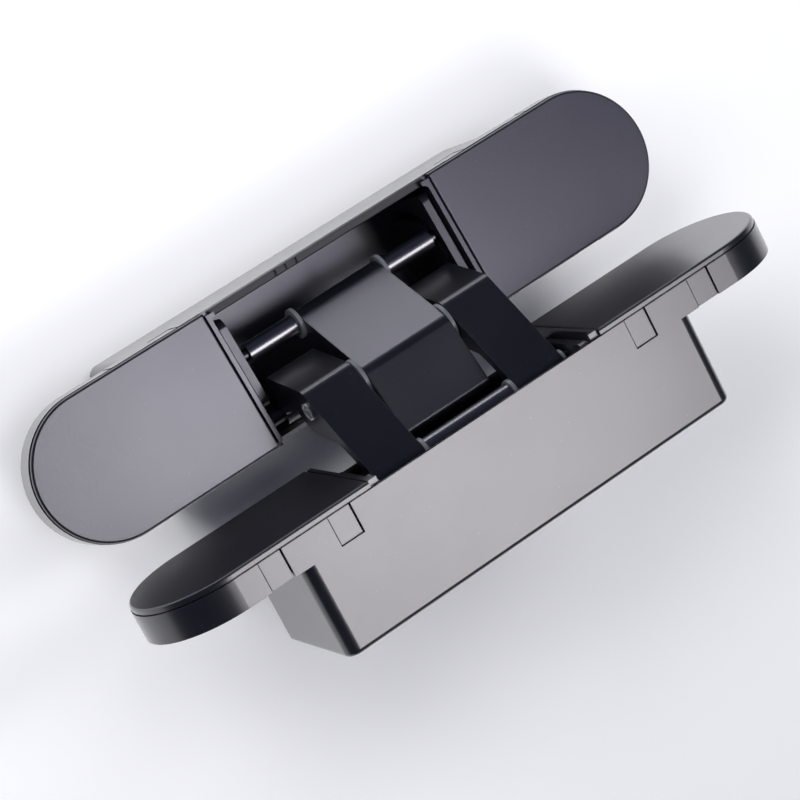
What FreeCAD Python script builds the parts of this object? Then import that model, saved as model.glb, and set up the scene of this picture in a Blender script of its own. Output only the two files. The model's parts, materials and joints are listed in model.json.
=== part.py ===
# Concealed invisible door hinge, two equal leaves joined by a folding linkage
# Frame: origin in the middle of the back of the frame leaf's box
# +X along the hinge axis, +Y toward the knuckle side, +Z out of the face of the frame leaf
# The leaves are drawn from the face of the frame leaf and raised by the depth of its box
# Built as it stands in the opening pose, the door leaf turned up from closed

import FreeCAD, Part
import math
import os

V = FreeCAD.Vector

# Opening and fold
open_angle = 96.8
closed_angle = 0.0
full_angle = 180.0
apex_y = 21.04

# Leaf plate and its box
leaf_length = 146.0
leaf_width = 30.0
flange_thickness = 6.0
flange_overhang = 27.0
box_depth = 25.0
box_corner = 2.5
box_floor = 2.0
box_edge = 1.0

# Pocket between the covers
pocket_half_length = 26.1
pocket_half_width = 13.1
pocket_corner = 1.0
knuckle_rim_drop = 3.8
knuckle_rim_chamfer = 0.9
rim_ledge_width = 1.4
rim_ledge_drop = 0.2
rim_round = 0.3
lip_thickness = 0.9
lip_height = 1.3
lip_inset = 1.0

# Covers
cover_split = 0.14
cover_thickness = 1.35
cover_inset = 0.2
cover_edge = 0.5
cover_gap = 0.2
cover_gap_depth = 0.7
post_radius = 1.5
post_length = 3.0
post_y = 7.6
post_hole_radius = 1.9

# Adjustable end plates with tabs in the sides of the leaf
plate_inner_wall = 3.8
plate_end_margin = 7.0
plate_half_width = 11.6
plate_thickness = 4.0
plate_corner = 4.0
plate_slack = 0.4
tab_width = 4.7
tab_gap_wide = 0.4
tab_gap_narrow = 0.12
tab_height = 5.85
tab_slot_height = 6.1
tab_recess = 0.05
tab_root = 1.0

# Screws and screw holes under the covers
fixing_y = 6.0
fixing_radius = 2.6
fixing_sink_radius = 4.7
fixing_sink_depth = 2.1
fixing_clear_radius = 3.8
clamp_radius = 2.4
clamp_head_radius = 4.4
clamp_head_depth = 2.0
clamp_head_sunk = 0.3
clamp_length = 16.0
clamp_key_across = 3.0
clamp_key_depth = 1.4
clamp_slot_radius = 3.0
clamp_slot_play = 0.3

# Places along an end plate, as shares of its length
tab_shares = (0.14, 0.569)
clamp_share = 0.3075
post_share = 0.424
fixing_share = 0.778

# Linkage pivots in the frame leaf, at the built angle
centre_y = 10.6
fixed_y, fixed_z = 10.2, -3.25
slide_y, slide_z = -3.2, -3.0
fold_share = 0.72

# Arms
central_half = 10.0
arm_side_gap = 1.1
arm_end_gap = 3.8
boss_radius = 5.25
fixed_eye_radius = 2.6
slide_eye_radius = 2.3
pin_hollow_clearance = 0.35

# Roundings of the arm outline: reach and angle from a pivot, then radius
neck_reach = 3.675
neck_angle = 75.0
neck_radius = 1.0
lower_fillet_reach = 6.82
lower_fillet_angle = -82.4
lower_fillet_radius = 1.5
upper_fillet_reach = 10.33
upper_fillet_angle = 30.5
upper_fillet_radius = 1.5
bend_reach = 1.61
bend_angle = 177.2
bend_radius = 2.8
heel_reach = 13.73
heel_angle = 239.3
heel_radius = 1.2

# Pins, washers, sleeves and tracks
running_fit = 0.05
seat_fit = 0.02
centre_pin_radius = 1.8
centre_pin_proud = 0.3
centre_pin_hollow = 1.25
centre_pin_hollow_depth = 1.6
fixed_pin_radius = 1.5
fixed_pin_embed = 2.6
fixed_pin_play = 0.15
pin_bore_play = 0.1
slide_shaft_radius = 1.25
slide_journal_radius = 1.0
slide_journal_gap = 1.2
slide_shaft_end_play = 0.2
sleeve_radius = 2.1
frame_washer_radius = 3.2
door_inner_washer_radius = 2.6
door_outer_washer_radius = 2.0
crossing_washer_radius = 4.2
washer_thickness = 0.8
washer_play = 0.05
track_thickness = 2.2
track_play = 0.1
track_run_on = 0.25
track_top = 0.2
track_near_y = -12.0
track_far_y = 7.3
track_corner = 2.0
track_edge = 0.6
track_steps = 12

# Engraved setting marks on the ledge of the rim
mark_count = 3
mark_first = 5.0
mark_step = 2.5
mark_width = 0.4
mark_margin = 0.1
mark_depth = 0.2

# Reach of a cutting tool past the face that it cuts
overcut = 1.0

# Derived
half_width = leaf_width / 2
end_radius = half_width
end_centre_x = leaf_length / 2 - end_radius
box_half_length = leaf_length / 2 - flange_overhang
outer_start = central_half + arm_side_gap
outer_end = pocket_half_length - arm_end_gap
cover_start = pocket_half_length + lip_thickness + cover_split
plate_inner_x = pocket_half_length + plate_inner_wall
plate_outer_x = leaf_length / 2 - plate_end_margin
plate_length = plate_outer_x - plate_inner_x
tab_centres = [plate_inner_x + share * plate_length for share in tab_shares]
clamp_x = plate_inner_x + clamp_share * plate_length
post_x = plate_inner_x + post_share * plate_length
fixing_x = plate_inner_x + fixing_share * plate_length
pocket_floor_z = box_floor - box_depth
fold_normal = V(0, math.sin(math.radians(open_angle / 2)), math.cos(math.radians(open_angle / 2)))
fold_point = V(0, apex_y, 0)
centre_z = (apex_y - centre_y) * math.tan(math.radians(open_angle / 2))
centre = V(0, centre_y, centre_z)
fixed_frame = V(0, fixed_y, fixed_z)
slide_frame = V(0, slide_y, slide_z)


def mirrored_point(p):
    # The same point of the door leaf
    return p - fold_normal * (2 * (p - fold_point).dot(fold_normal))


fixed_door = mirrored_point(fixed_frame)
slide_door = mirrored_point(slide_frame)


def door(shape):
    # The same solid of the door leaf
    return shape.mirror(fold_point, fold_normal)


def block(x0, x1, y0, y1, z0, z1):
    return Part.makeBox(x1 - x0, y1 - y0, z1 - z0, V(x0, y0, z0))


def rod_x(point, radius, x0, x1):
    # Round bar along the hinge axis
    return Part.makeCylinder(radius, x1 - x0, V(x0, point.y, point.z), V(1, 0, 0))


def rod_z(x, y, radius, z0, z1):
    return Part.makeCylinder(radius, z1 - z0, V(x, y, z0), V(0, 0, 1))


def cut_all(shape, tools):
    return shape.cut(Part.makeCompound(tools)) if tools else shape


def rounded_block(x0, x1, y0, y1, z0, z1, radius):
    # Box with its four upright edges rounded
    solid = block(x0, x1, y0, y1, z0, z1)
    upright = [e for e in solid.Edges if abs(e.tangentAt(e.FirstParameter).z) > 0.99]
    return solid.makeFillet(radius, upright)


def edges_at_z(shape, z):
    found = []
    for edge in shape.Edges:
        box = edge.BoundBox
        if abs(box.ZMin - z) < 1e-4 and abs(box.ZMax - z) < 1e-4:
            found.append(edge)
    return found


def stadium(inset, z0, z1):
    # Leaf outline with full round ends, drawn in by an inset
    radius = end_radius - inset
    middle = block(-end_centre_x, end_centre_x, -radius, radius, z0, z1)
    for side in (-1, 1):
        middle = middle.fuse(rod_z(side * end_centre_x, 0, radius, z0, z1))
    return middle.removeSplitter()


def belt(circles, x0, x1):
    # Outline drawn tight round circles, side 1 from outside and side -1 from inside
    count = len(circles)
    joints = []
    for i in range(count):
        (ya, za, ra, sa) = circles[i]
        (yb, zb, rb, sb) = circles[(i + 1) % count]
        span = math.hypot(yb - ya, zb - za)
        heading = math.atan2(zb - za, yb - ya) - math.asin((sb * rb - sa * ra) / span)
        ny, nz = -math.sin(heading), math.cos(heading)
        start = V(x0, ya - sa * ra * ny, za - sa * ra * nz)
        end = V(x0, yb - sb * rb * ny, zb - sb * rb * nz)
        joints.append((start, end, heading))
    edges = []
    for i in range(count):
        (start, end, heading) = joints[i]
        edges.append(Part.LineSegment(start, end).toShape())
        (next_start, unused_end, next_heading) = joints[(i + 1) % count]
        (y, z, r, s) = circles[(i + 1) % count]
        turn = (next_heading - heading) % (2 * math.pi)
        if s < 0:
            turn -= 2 * math.pi
        mid = heading + turn / 2
        through = V(x0, y + s * r * math.sin(mid), z - s * r * math.cos(mid))
        edges.append(Part.Arc(end, through, next_start).toShape())
    face = Part.Face(Part.Wire(edges))
    return face.extrude(V(x1 - x0, 0, 0))


def rounding(pivot, reach, angle, radius, side):
    # Circle of the arm outline given by its reach and angle from a pivot
    turn = math.radians(angle)
    return (pivot.y + reach * math.cos(turn), pivot.z + reach * math.sin(turn), radius, side)


def pin_hollow():
    # Hollow of the arm where the fixed pin of the other leaf lies at full opening
    turn = math.radians((2 * fold_share - 1) * (full_angle - open_angle))
    reach = fixed_door - centre
    y = centre.y + reach.y * math.cos(turn) - reach.z * math.sin(turn)
    z = centre.z + reach.y * math.sin(turn) + reach.z * math.cos(turn)
    return (y, z, fixed_pin_radius + pin_hollow_clearance, -1)


def arm(x0, x1):
    # Bent arm from the fixed pivot of the frame leaf to the sliding pivot of the door leaf
    fixed, slide = fixed_frame, slide_door
    circles = [
        (fixed.y, fixed.z, fixed_eye_radius, 1),
        rounding(fixed, neck_reach, neck_angle, neck_radius, -1),
        rounding(centre, lower_fillet_reach, lower_fillet_angle, lower_fillet_radius, -1),
        (centre.y, centre.z, boss_radius, 1),
        rounding(centre, upper_fillet_reach, upper_fillet_angle, upper_fillet_radius, -1),
        pin_hollow(),
        (slide.y, slide.z, slide_eye_radius, 1),
        rounding(centre, bend_reach, bend_angle, bend_radius, 1),
        rounding(centre, heel_reach, heel_angle, heel_radius, 1),
    ]
    bores = [
        rod_x(fixed, fixed_pin_radius + running_fit, x0, x1),
        rod_x(centre, centre_pin_radius + running_fit, x0, x1),
        rod_x(slide, slide_shaft_radius + running_fit, x0, x1),
    ]
    return cut_all(belt(circles, x0, x1), bores)


def slide_position(angle):
    # Place of the sliding pivot in the frame leaf at an opening angle
    turn_fixed = math.radians(fold_share * (angle - open_angle))
    turn_slide = math.radians((1 - fold_share) * (angle - open_angle))
    first = centre - fixed_frame
    second = slide_frame - centre
    psi = math.atan2(first.z, first.y) - turn_fixed
    alpha = math.atan2(second.z, second.y) - turn_slide
    y = fixed_y + first.Length * math.cos(psi) + second.Length * math.cos(alpha)
    z = fixed_z + first.Length * math.sin(psi) + second.Length * math.sin(alpha)
    return V(0, y, z)


def track_slot(x0, x1):
    # Curved slot that the sliding shaft follows from closed to fully open
    step = (full_angle - closed_angle) / track_steps
    path = [slide_position(closed_angle + i * step) for i in range(track_steps + 1)]
    first = (path[0] - path[1]).normalize() * track_run_on
    last = (path[-1] - path[-2]).normalize() * track_run_on
    path[0] = path[0] + first
    path[-1] = path[-1] + last
    half = slide_journal_radius + track_play
    left, right = [], []
    for i, point in enumerate(path):
        ahead = path[min(i + 1, len(path) - 1)] - path[max(i - 1, 0)]
        ahead.normalize()
        side = V(0, -ahead.z, ahead.y) * half
        shift = V(x0, 0, 0)
        left.append(point + side + shift)
        right.append(point - side + shift)
    left_curve, right_curve = Part.BSplineCurve(), Part.BSplineCurve()
    left_curve.interpolate(left)
    right_curve.interpolate(list(reversed(right)))
    far = path[-1] + V(x0, 0, 0) + last.normalize() * half
    near = path[0] + V(x0, 0, 0) + first.normalize() * half
    edges = [
        left_curve.toShape(),
        Part.Arc(left[-1], far, right[-1]).toShape(),
        right_curve.toShape(),
        Part.Arc(right[0], near, left[0]).toShape(),
    ]
    return Part.Face(Part.Wire(edges)).extrude(V(x1 - x0, 0, 0))


def tab_slots(side):
    slots = []
    for middle in tab_centres:
        x0 = side * middle - tab_width / 2 - tab_gap_wide
        x1 = side * middle + tab_width / 2 + tab_gap_narrow
        inner = plate_half_width + plate_slack - tab_root
        slots.append(block(x0, x1, inner, half_width + overcut, -tab_slot_height, overcut))
        slots.append(block(x0, x1, -half_width - overcut, -inner, -tab_slot_height, overcut))
    return slots


def plate_recess(side):
    near, far = plate_inner_x - plate_slack, plate_outer_x + plate_slack
    x0, x1 = sorted((side * near, side * far))
    reach = plate_half_width + plate_slack
    return rounded_block(x0, x1, -reach, reach, -plate_thickness, overcut, plate_corner + plate_slack)


def rim_ledge():
    # Narrow sloping ledge on the away rim that rounds over into the pocket
    start = -pocket_half_length
    outer = V(start, -pocket_half_width - rim_ledge_width, 0)
    inner = V(start, -pocket_half_width - rim_round, -rim_ledge_drop)
    low = V(start, -pocket_half_width, -rim_ledge_drop - rim_round)
    over = V(start, -pocket_half_width, 0)
    middle = V(start, low.y - rim_round * (1 - math.sqrt(0.5)), inner.z - rim_round * (1 - math.sqrt(0.5)))
    edges = [
        Part.LineSegment(outer, inner).toShape(),
        Part.Arc(inner, middle, low).toShape(),
        Part.LineSegment(low, over).toShape(),
        Part.LineSegment(over, outer).toShape(),
    ]
    return Part.Face(Part.Wire(edges)).extrude(V(2 * pocket_half_length, 0, 0))


def leaf_body():
    # One casting: flange, box, pocket, recesses for the end plates and slots for their tabs
    half_long, wide = box_half_length, half_width
    box = rounded_block(-half_long, half_long, -wide, wide, -box_depth, -overcut, box_corner)
    box = box.makeFillet(box_edge, edges_at_z(box, -box_depth))
    body = stadium(0, -flange_thickness, 0).fuse(box)
    lip_end = pocket_half_length + lip_thickness
    for side in (-1, 1):
        x0, x1 = sorted((side * (pocket_half_length - overcut), side * lip_end))
        body = body.fuse(block(x0, x1, -half_width + lip_inset, half_width - lip_inset, -overcut, lip_height))
    body = body.removeSplitter()
    reach, wide = pocket_half_length, pocket_half_width
    above = lip_height + overcut
    tools = [rounded_block(-reach, reach, -wide, wide, pocket_floor_z, above, pocket_corner)]
    tools.append(block(-reach, reach, wide - pocket_corner, half_width + overcut, -knuckle_rim_drop, above))
    edge_y, edge_z = half_width, -knuckle_rim_drop
    corner = [V(-reach, edge_y - knuckle_rim_chamfer, edge_z), V(-reach, edge_y + overcut, edge_z)]
    corner.append(V(-reach, edge_y + overcut, edge_z - knuckle_rim_chamfer - overcut))
    corner.append(corner[0])
    tools.append(Part.Face(Part.makePolygon(corner)).extrude(V(2 * reach, 0, 0)))
    tools.append(rim_ledge())
    for side in (-1, 1):
        tools.append(plate_recess(side))
        tools.extend(tab_slots(side))
        tools.append(rod_z(side * clamp_x, 0, clamp_radius + seat_fit, -clamp_length - overcut, overcut))
        for y in (-fixing_y, fixing_y):
            tools.append(rod_z(side * fixing_x, y, fixing_clear_radius, -flange_thickness - overcut, overcut))
    for i in range(mark_count):
        x0 = mark_first + i * mark_step - mark_width / 2
        near = -wide - rim_ledge_width + mark_margin
        low = -rim_ledge_drop - mark_depth
        tools.append(block(x0, x0 + mark_width, near, -wide - rim_round, low, overcut))
    for tool in tools:
        body = body.cut(tool)
    return body


def end_plate(side):
    # Plate that is screwed to the door or frame, with two tabs on each edge
    x0, x1 = sorted((side * plate_inner_x, side * plate_outer_x))
    wide = plate_half_width
    plate = rounded_block(x0, x1, -wide, wide, -plate_thickness, 0, plate_corner)
    for middle in tab_centres:
        tab_x0 = side * middle - tab_width / 2
        for edge in (-1, 1):
            root, tip = edge * (wide - tab_root + plate_slack), edge * (half_width - tab_recess)
            y0, y1 = sorted((root, tip))
            plate = plate.fuse(block(tab_x0, tab_x0 + tab_width, y0, y1, -tab_height, 0))
    plate = plate.removeSplitter()
    for y in (-fixing_y, fixing_y):
        plate = plate.cut(rod_z(side * fixing_x, y, fixing_radius, -plate_thickness - overcut, overcut))
        sink = Part.makeCone(
            fixing_radius, fixing_sink_radius, fixing_sink_depth,
            V(side * fixing_x, y, -fixing_sink_depth), V(0, 0, 1))
        plate = plate.cut(sink)
    for y in (-post_y, post_y):
        plate = plate.cut(rod_z(side * post_x, y, post_hole_radius, -plate_thickness - overcut, overcut))
    seat = clamp_head_radius + clamp_slot_play
    plate = plate.cut(rod_z(side * clamp_x, 0, clamp_slot_radius, -plate_thickness - overcut, overcut))
    return plate.cut(rod_z(side * clamp_x, 0, seat, -clamp_head_depth - clamp_head_sunk, overcut))


def cover(side):
    # Flat cover with a round end and a shadow gap underneath, held by two posts
    whole = stadium(cover_inset, cover_gap, cover_thickness)
    pad = stadium(cover_inset + cover_gap_depth, 0, cover_gap)
    far = leaf_length
    x0, x1 = sorted((side * cover_start, side * far))
    top = whole.common(block(x0, x1, -half_width, half_width, cover_gap, cover_thickness))
    top = top.makeFillet(cover_edge, edges_at_z(top, cover_thickness))
    x0, x1 = sorted((side * (cover_start + cover_gap_depth), side * far))
    foot = pad.common(block(x0, x1, -half_width, half_width, 0, cover_gap))
    solid = top.fuse(foot)
    for y in (-post_y, post_y):
        solid = solid.fuse(rod_z(side * post_x, y, post_radius, -post_length, cover_gap))
    return solid.removeSplitter()


def track(side):
    # Plate at the end of the pocket with the curved slot
    inner, outer = pocket_half_length - track_thickness, pocket_half_length
    x0, x1 = sorted((side * inner, side * outer))
    plate = block(x0, x1, track_near_y, track_far_y, pocket_floor_z, -track_top)
    rounded = []
    for edge in plate.Edges:
        if abs(edge.tangentAt(edge.FirstParameter).x) > 0.99 and edge.BoundBox.ZMax > -track_top - 1e-4:
            rounded.append(edge)
    plate = plate.makeFillet(track_corner, rounded)
    edge = [V(side * outer, track_near_y, -track_top - track_edge)]
    edge.append(V(side * outer, track_near_y, -track_top + overcut))
    edge.append(V(side * (outer - track_edge - overcut), track_near_y, -track_top + overcut))
    edge.append(edge[0])
    bevel = Part.Face(Part.makePolygon(edge)).extrude(V(0, track_far_y - track_near_y, 0))
    return plate.cut(track_slot(x0 - overcut, x1 + overcut)).cut(bevel)


def clamp_screw(side):
    # Flat headed screw with a hexagon socket that clamps the end plate to the casting
    top = -clamp_head_sunk
    x = side * clamp_x
    head = rod_z(x, 0, clamp_head_radius, top - clamp_head_depth, top)
    head = head.fuse(rod_z(x, 0, clamp_radius, -clamp_length, top - clamp_head_depth))
    corner = clamp_key_across / math.sqrt(3)
    ring = []
    for i in range(7):
        turn = math.radians(60 * i)
        ring.append(V(x + corner * math.cos(turn), corner * math.sin(turn), top - clamp_key_depth))
    socket = Part.Face(Part.makePolygon(ring)).extrude(V(0, 0, clamp_key_depth + overcut))
    return head.cut(socket)


def tube(point, outer, bore, x0, x1):
    return rod_x(point, outer, x0, x1).cut(rod_x(point, bore, x0 - overcut, x1 + overcut))


def slide_shaft(point):
    # Shaft with a thinner journal at each end for the slots
    end = pocket_half_length - slide_shaft_end_play
    step = outer_end + slide_journal_gap
    core = rod_x(point, slide_shaft_radius, -step, step)
    return core.fuse(rod_x(point, slide_journal_radius, -end, end))


def mirrored_pair(make, inner, outer):
    # The same ring on the left and on the right of the middle
    return {"left": make(inner, outer), "right": make(-outer, -inner)}


def washer(point, radius, bore, inner):
    start = inner + washer_play
    return mirrored_pair(lambda a, b: tube(point, radius, bore, a, b), start, start + washer_thickness)


parts = {}
pin_end = pocket_half_length + fixed_pin_embed
pin_start = outer_start - fixed_pin_play
body = leaf_body()
pin_bores = []
for side in (-1, 1):
    x0, x1 = sorted((side * (pocket_half_length - overcut), side * (pin_end + pin_bore_play)))
    pin_bores.append(rod_x(fixed_frame, fixed_pin_radius + seat_fit, x0, x1))
body = cut_all(body, pin_bores)
parts["frame_body"] = body
parts["door_body"] = door(body)

screws = []
for name, side in (("left", 1), ("right", -1)):
    plate = end_plate(side)
    shell = cover(side)
    guide = track(side)
    screws.append(clamp_screw(side))
    parts["frame_end_plate_" + name] = plate
    parts["door_end_plate_" + name] = door(plate)
    parts["frame_cover_" + name] = shell
    parts["door_cover_" + name] = door(shell)
    parts["frame_track_" + name] = guide
    parts["door_track_" + name] = door(guide)
parts["frame_clamp_screws"] = Part.makeCompound(screws)
parts["door_clamp_screws"] = Part.makeCompound([door(screw) for screw in screws])

# Fixed pins: short ones for the outer arms, a long one for the central arm
short_pins = [
    rod_x(fixed_frame, fixed_pin_radius, pin_start, pin_end),
    rod_x(fixed_frame, fixed_pin_radius, -pin_end, -pin_start),
]
parts["frame_pivot_pins"] = Part.makeCompound(short_pins)
parts["door_pivot_pin"] = rod_x(fixed_door, fixed_pin_radius, -pin_end, pin_end)

# Arms and the pin where they cross
parts["outer_arm_left"] = arm(outer_start, outer_end)
parts["outer_arm_right"] = arm(-outer_end, -outer_start)
parts["central_arm"] = door(arm(-central_half, central_half))
centre_pin_end = outer_end + centre_pin_proud
hollow_end = centre_pin_end - centre_pin_hollow_depth
pin = rod_x(centre, centre_pin_radius, -centre_pin_end, centre_pin_end)
for x0, x1 in ((-centre_pin_end - overcut, -hollow_end), (hollow_end, centre_pin_end + overcut)):
    pin = pin.cut(rod_x(centre, centre_pin_hollow, x0, x1))
parts["centre_pin"] = pin
for name, ring in washer(centre, crossing_washer_radius, centre_pin_radius + running_fit, central_half).items():
    parts["crossing_washer_" + name] = ring

# Shaft of the central arm in the frame leaf
shaft_bore = slide_shaft_radius + running_fit
parts["frame_slide_shaft"] = slide_shaft(slide_frame)
sleeve_start = central_half + washer_thickness + 2 * washer_play
for name, ring in washer(slide_frame, frame_washer_radius, shaft_bore, central_half).items():
    parts["frame_washer_" + name] = ring
sleeves = mirrored_pair(
    lambda a, b: tube(slide_frame, sleeve_radius, shaft_bore, a, b), sleeve_start, outer_end)
for name, ring in sleeves.items():
    parts["frame_sleeve_" + name] = ring

# Shaft of the outer arms in the door leaf
parts["door_slide_shaft"] = slide_shaft(slide_door)
spacer_half = outer_start - washer_thickness - 2 * washer_play
parts["door_spacer_tube"] = tube(slide_door, sleeve_radius, shaft_bore, -spacer_half, spacer_half)
for name, ring in washer(slide_door, door_inner_washer_radius, shaft_bore, spacer_half).items():
    parts["door_inner_washer_" + name] = ring
for name, ring in washer(slide_door, door_outer_washer_radius, shaft_bore, outer_end).items():
    parts["door_outer_washer_" + name] = ring

os.makedirs("parts", exist_ok=True)
for name, shape in parts.items():
    shape.translate(V(0, 0, box_depth))
    shape.exportStep("parts/" + name + ".step")
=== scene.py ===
import bpy
import json
from mathutils import Matrix, Vector

# Concealed door hinge standing on the box of its frame leaf, opened a little past a right angle
# Everything is in metres, in the frame of the CAD: X along the hinge, Y to the knuckle, Z up

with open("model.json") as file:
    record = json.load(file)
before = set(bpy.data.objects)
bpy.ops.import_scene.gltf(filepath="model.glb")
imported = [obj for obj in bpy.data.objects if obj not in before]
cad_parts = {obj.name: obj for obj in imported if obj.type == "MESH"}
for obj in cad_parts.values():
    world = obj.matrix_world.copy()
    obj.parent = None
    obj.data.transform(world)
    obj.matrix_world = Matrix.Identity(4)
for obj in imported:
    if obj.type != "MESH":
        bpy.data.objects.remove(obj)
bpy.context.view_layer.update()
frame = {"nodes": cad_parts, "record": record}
nodes = frame["nodes"]
print("frame loaded:", len(nodes), "nodes")


class Wire:  # an output socket that can be added, taken away and multiplied
    def __init__(self, graph, socket):
        self.graph = graph
        self.socket = socket

    def maths(self, operation, other, flipped=False):
        first, second = (other, self) if flipped else (self, other)
        return self.graph.node("ShaderNodeMath", {"operation": operation}, {0: first, 1: second})

    def __add__(self, other):
        return self.maths("ADD", other)

    def __sub__(self, other):
        return self.maths("SUBTRACT", other)

    def __rsub__(self, other):
        return self.maths("SUBTRACT", other, True)

    def __mul__(self, other):
        return self.maths("MULTIPLY", other)

    __radd__ = __add__
    __rmul__ = __mul__


class Graph:  # the nodes of one material
    def __init__(self, name):
        self.material = bpy.data.materials.new(name)
        self.material.use_nodes = True
        self.tree = self.material.node_tree
        self.tree.nodes.clear()

    def node(self, kind, settings=None, sockets=None, output=0):
        made = self.tree.nodes.new(kind)
        for key, value in (settings or {}).items():
            setattr(made, key, value)
        for key, value in (sockets or {}).items():
            if isinstance(value, Wire):
                self.tree.links.new(value.socket, made.inputs[key])
            else:
                made.inputs[key].default_value = value
        return Wire(self, made.outputs[output]) if made.outputs else None

    def noise(self, size, detail=2.0, rough=0.5, stretch=(1, 1, 1)):
        # size is the width of a blotch in metres
        place = self.node("ShaderNodeTexCoord", output="Object")
        stretched = self.node("ShaderNodeVectorMath", {"operation": "MULTIPLY"}, {0: place, 1: stretch})
        return self.node("ShaderNodeTexNoise", {}, {
            "Vector": stretched, "Scale": 1 / size, "Detail": detail, "Roughness": rough})

    def specks(self, gap):
        # 0 in the middle of each speck, rising to 1 about a gap away from it
        place = self.node("ShaderNodeTexCoord", output="Object")
        return self.node("ShaderNodeTexVoronoi", {}, {"Vector": place, "Scale": 1 / gap}, "Distance")

    def ramp(self, value, low, high, start=0.0, end=1.0):
        # soft step from start to end while the value goes from low to high
        return self.node("ShaderNodeMapRange", {"interpolation_type": "SMOOTHSTEP"}, {
            "Value": value, "From Min": low, "From Max": high, "To Min": start, "To Max": end})

    def blend(self, share, first, second):
        return self.node("ShaderNodeMix", {"data_type": "RGBA"}, {0: share, 6: first, 7: second}, output=2)

    def softEdges(self, radius):
        return self.node("ShaderNodeBevel", {"samples": 6}, {"Radius": radius})

    def edgeWear(self, soft, wornFrom, wornTo):
        # 0 on flat faces, 1 where the softened normal leaves the real one
        flat = self.node("ShaderNodeNewGeometry", output="Normal")
        alike = self.node(
            "ShaderNodeVectorMath", {"operation": "DOT_PRODUCT"}, {0: soft, 1: flat}, output="Value")
        return self.ramp(1 - alike, wornFrom, wornTo)

    def inside(self, low, high, fade):
        # 1 between two corners in metres, fading to 0 across fade
        place = self.node("ShaderNodeTexCoord", output="Object")
        share = 1
        for axis, start, end in zip("XYZ", low, high):
            value = self.node("ShaderNodeSeparateXYZ", {}, {"Vector": place}, axis)
            rise = self.ramp(value, start, start + fade)
            share = rise * self.ramp(value, end - fade, end, 1, 0) * share
        return share

    def relief(self, height, distance, soft):
        return self.node("ShaderNodeBump", {}, {"Distance": distance, "Height": height, "Normal": soft})

    def finish(self, sockets):
        shader = self.node("ShaderNodeBsdfPrincipled", {}, sockets)
        self.node("ShaderNodeOutputMaterial", {}, {"Surface": shader})
        return self.material


def tone(red, green, blue):
    return (red, green, blue, 1)


def lacquer(name, look):
    # satin black lacquer on metal: fine orange peel, cloudy gloss, rubbed edges, a little dust
    graph = Graph(name)
    soft = graph.softEdges(look["edge"])
    peel = graph.noise(look["peelSize"], 3.0, 0.55)
    grain = graph.noise(look["grainSize"], 2.0, 0.6)
    cloud = graph.noise(look["cloudSize"], 4.0, 0.55)
    dust = graph.ramp(graph.specks(look["dustGap"]), *look["dustReach"], 1, 0)
    rubbed = graph.edgeWear(soft, *look["wear"]) * graph.ramp(cloud, *look["wearCloud"])
    paint = graph.blend(graph.ramp(cloud, *look["toneCloud"]), look["dark"], look["light"])
    paint = graph.blend(rubbed * look["rubbedShare"], paint, look["rubbed"])
    paint = graph.blend(dust * look["dustShare"], paint, look["dust"])
    rough = graph.ramp(cloud, *look["roughCloud"], look["roughLow"], look["roughHigh"])
    rough = rough + grain * look["grainRough"]
    coat = graph.ramp(peel, *look["coatPeel"], look["coatLow"], look["coatHigh"])
    if "matt" in look:
        matt = graph.inside(*look["matt"], look["mattFade"])
        rough = rough + matt * look["mattRough"]
        coat = coat * (1 - matt)
    return graph.finish({
        "Base Color": paint,
        "Roughness": rough + dust * look["dustRough"],
        "IOR": look["ior"],
        "Coat Weight": coat,
        "Coat Roughness": look["coatRough"],
        "Normal": graph.relief(peel + grain * look["grainShare"], look["relief"], soft),
    })


castingLook = {
    "dark": tone(0.0042, 0.0042, 0.0066), "light": tone(0.0056, 0.0056, 0.0084),
    "cloudSize": 0.018, "toneCloud": (0.35, 0.65), "roughCloud": (0.3, 0.7),
    "peelSize": 0.0011, "grainSize": 0.00025, "grainShare": 0.2, "relief": 0.000003,
    "rubbed": tone(0.06, 0.06, 0.065), "rubbedShare": 0.5, "wear": (0.02, 0.3), "wearCloud": (0.4, 0.7),
    "dust": tone(0.45, 0.45, 0.47), "dustGap": 0.0021, "dustReach": (0.04, 0.07),
    "dustShare": 0.08, "dustRough": 0.2,
    "roughLow": 0.28, "roughHigh": 0.31, "grainRough": 0.02, "ior": 1.5, "edge": 0.00018,
    "coatLow": 0.94, "coatHigh": 1.0, "coatPeel": (0.35, 0.65), "coatRough": 0.24,
}

# the narrow ledge along the far side of the frame leaf's pocket is duller than the rest
ledgeLook = {
    "matt": ((-0.0263, -0.0148, 0.0243), (0.0263, -0.0129, 0.0254)), "mattFade": 0.0002, "mattRough": 0.20,
}

coverLook = dict(castingLook, peelSize=0.0007, relief=0.000020, coatLow=0.93, edge=0.0002)

armLook = dict(
    castingLook, dark=tone(0.0030, 0.0031, 0.0052), light=tone(0.0042, 0.0043, 0.0070),
    roughHigh=0.33, edge=0.0004)

plateLook = dict(castingLook, edge=0.00025)

trackLook = dict(castingLook, roughLow=0.30, roughHigh=0.36, coatLow=0.6, coatHigh=0.8, edge=0.0001)


def steel(name, look):
    # turned steel with fine rings along the pin
    graph = Graph(name)
    soft = graph.softEdges(look["edge"])
    rings = graph.noise(look["ringSize"], 2.0, 0.6, look["ringStretch"])
    stain = graph.noise(look["stainSize"], 3.0, 0.5)
    return graph.finish({
        "Base Color": graph.blend(graph.ramp(stain, *look["stainReach"]), look["bright"], look["dull"]),
        "Metallic": 1.0,
        "Roughness": graph.ramp(rings, *look["roughRings"], look["roughLow"], look["roughHigh"]),
        "Normal": graph.relief(rings, look["relief"], soft),
    })


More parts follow.
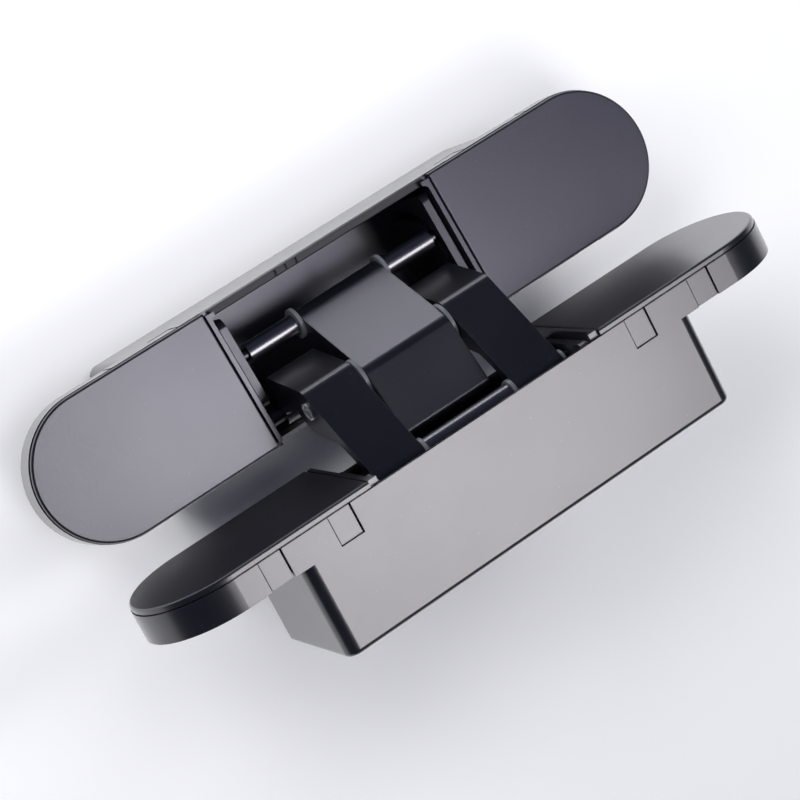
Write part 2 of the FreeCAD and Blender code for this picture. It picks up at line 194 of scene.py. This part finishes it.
pinLook = {
    "bright": tone(0.88, 0.88, 0.89), "dull": tone(0.72, 0.72, 0.74),
    "stainSize": 0.004, "stainReach": (0.4, 0.7),
    "ringSize": 0.0004, "ringStretch": (6.0, 1.0, 1.0), "roughRings": (0.3, 0.7),
    "roughLow": 0.30, "roughHigh": 0.42, "relief": 0.0000004, "edge": 0.0003,
}

shaftLook = dict(
    pinLook, bright=tone(0.14, 0.14, 0.155), dull=tone(0.06, 0.06, 0.07), roughLow=0.28, roughHigh=0.38)


def plastic(name, look):
    # moulded nylon, a little cloudy
    graph = Graph(name)
    soft = graph.softEdges(look["edge"])
    grain = graph.noise(look["grainSize"], 2.0, 0.5)
    cloud = graph.noise(look["cloudSize"], 2.0, 0.5)
    return graph.finish({
        "Base Color": graph.blend(graph.ramp(cloud, *look["toneCloud"]), look["dark"], look["light"]),
        "IOR": look["ior"],
        "Coat Weight": look["coat"],
        "Coat Roughness": look["coatRough"],
        "Roughness": graph.ramp(grain, *look["roughGrain"], look["roughLow"], look["roughHigh"]),
        "Normal": graph.relief(grain, look["relief"], soft),
    })


washerLook = {
    "dark": tone(0.070, 0.074, 0.084), "light": tone(0.095, 0.100, 0.112),
    "cloudSize": 0.003, "toneCloud": (0.35, 0.65),
    "grainSize": 0.0003, "relief": 0.000004,
    "roughLow": 0.40, "roughHigh": 0.52, "roughGrain": (0.3, 0.7),
    "ior": 1.5, "coat": 0.0, "coatRough": 0.3, "edge": 0.00015,
}

sleeveLook = dict(
    washerLook, dark=tone(0.004, 0.004, 0.008), light=tone(0.006, 0.006, 0.010), relief=0.0000002,
    roughLow=0.28, roughHigh=0.31, ior=2.2, coat=1.0, coatRough=0.27, edge=0.0001)

finishes = {
    "casting": lacquer("blackCasting", dict(castingLook, **ledgeLook)),
    "cover": lacquer("blackCover", coverLook),
    "end_plate": lacquer("blackEndPlate", plateLook),
    "arm": lacquer("blackArm", armLook),
    "track": lacquer("blackTrack", trackLook),
    "steel": steel("turnedSteel", pinLook),
    "shaft": steel("blackenedSteel", shaftLook),
    "washer": plastic("greyNylon", washerLook),
    "sleeve": plastic("blackSleeve", sleeveLook),
}

for part in frame["record"]["subparts"]:
    mesh = nodes[part["node"]].data
    mesh.materials.clear()
    mesh.materials.append(finishes[part["material_slot"]])
print("finishes:", len(finishes))


floorSetup = {"size": 6.0, "paper": tone(0.92, 0.92, 0.945), "roughness": 0.9}


def makeFloor(setup):
    half = setup["size"] / 2
    corners = [(-half, -half, 0), (half, -half, 0), (half, half, 0), (-half, half, 0)]
    mesh = bpy.data.meshes.new("floor")
    mesh.from_pydata(corners, [], [(0, 1, 2, 3)])
    floor = bpy.data.objects.new("floor", mesh)
    bpy.context.scene.collection.objects.link(floor)
    mesh.materials.append(Graph("paper").finish({
        "Base Color": setup["paper"], "Roughness": setup["roughness"], "Specular IOR Level": 0.0}))


makeFloor(floorSetup)

worldSetup = {"Color": tone(0.60, 0.62, 1.0), "Strength": 0.087}
world = bpy.data.worlds.new("studio")
bpy.context.scene.world = world
world.use_nodes = True
for socket, value in worldSetup.items():
    world.node_tree.nodes["Background"].inputs[socket].default_value = value

# aim is the way from the middle of the hinge to the lamp
lampTarget = Vector((0, 0.02, 0.03))

# panels give soft light only
softPanel = {"distance": 1.2, "size": (0.45, 0.45), "colour": (1, 1, 1)}
panelSetup = {
    "frontPanel": dict(softPanel, aim=(0.08, 0.45, 0.89), power=3.4),
    "topPanel": dict(softPanel, aim=(0.22, 0.08, 0.97), power=2.4),
    "backPanel": dict(softPanel, aim=(0.41, -0.57, 0.71), power=2.7),
    "leftPanel": dict(softPanel, aim=(0.71, -0.35, 0.62), power=2.4),
    "rightPanel": dict(softPanel, aim=(-0.49, -0.05, 0.87), power=2.1),
    "cornerPanel": dict(softPanel, aim=(-0.75, -0.46, 0.48), power=3.9),
    "lowPanel": dict(softPanel, aim=(0.30, -0.92, 0.27), size=(0.80, 0.40), power=12.0),
}

# reflectors show in the gloss only
reflectorSetup = {
    "wallReflector": {
        "aim": (-0.30, 0.38, 0.87), "distance": 0.9, "size": (0.37, 0.37),
        "power": 2.75, "colour": (1.0, 0.97, 1.0)},
    "coverReflector": {
        "aim": (-0.22, 0.08, 0.972), "distance": 0.9, "size": (0.21, 0.21),
        "power": 0.95, "colour": (0.92, 0.89, 1.0)},
    "dimReflector": {
        "aim": (-0.46, 0.10, 0.88), "distance": 0.9, "size": (0.40, 0.40),
        "power": 0.30, "colour": (0.61, 0.60, 1.0)},
    "sideReflector": {
        "aim": (-0.34, -0.93, -0.02), "distance": 0.5, "size": (0.40, 0.06),
        "power": 0.27, "colour": (0.84, 0.82, 1.0)},
}


def makeLamp(name, setup, glossOnly):
    data = bpy.data.lights.new(name, "AREA")
    data.shape = "ELLIPSE"
    data.size, data.size_y = setup["size"]
    data.energy = setup["power"]
    data.color = setup["colour"]
    lamp = bpy.data.objects.new(name, data)
    lamp.visible_camera = False
    lamp.visible_glossy = glossOnly
    lamp.visible_diffuse = not glossOnly
    bpy.context.scene.collection.objects.link(lamp)
    aim = Vector(setup["aim"]).normalized()
    lamp.location = lampTarget + aim * setup["distance"]
    lamp.rotation_mode = "QUATERNION"
    lamp.rotation_quaternion = aim.to_track_quat("Z", "Y")


for name, setup in panelSetup.items():
    makeLamp(name, setup, False)
for name, setup in reflectorSetup.items():
    makeLamp(name, setup, True)

cameraSetup = {
    "lens": 125.6, "sensor": 36.0, "near": 0.01, "far": 20.0, "place": (0.18587, -0.05750, 0.53169),
    "right": (-0.7875, 0.4976, 0.3636), "up": (-0.5145, -0.8556, 0.0567), "back": (0.3393, -0.1424, 0.9298),
}

cameraData = bpy.data.cameras.new("camera")
cameraData.lens = cameraSetup["lens"]
cameraData.sensor_width = cameraSetup["sensor"]
cameraData.clip_start = cameraSetup["near"]
cameraData.clip_end = cameraSetup["far"]
camera = bpy.data.objects.new("camera", cameraData)
bpy.context.scene.collection.objects.link(camera)
turn = Matrix([cameraSetup[side] for side in ("right", "up", "back")]).transposed().to_4x4()
camera.matrix_world = Matrix.Translation(cameraSetup["place"]) @ turn
bpy.context.scene.camera = camera
bpy.context.scene.view_settings.view_transform = "Standard"
print("floor, lamps and camera set")
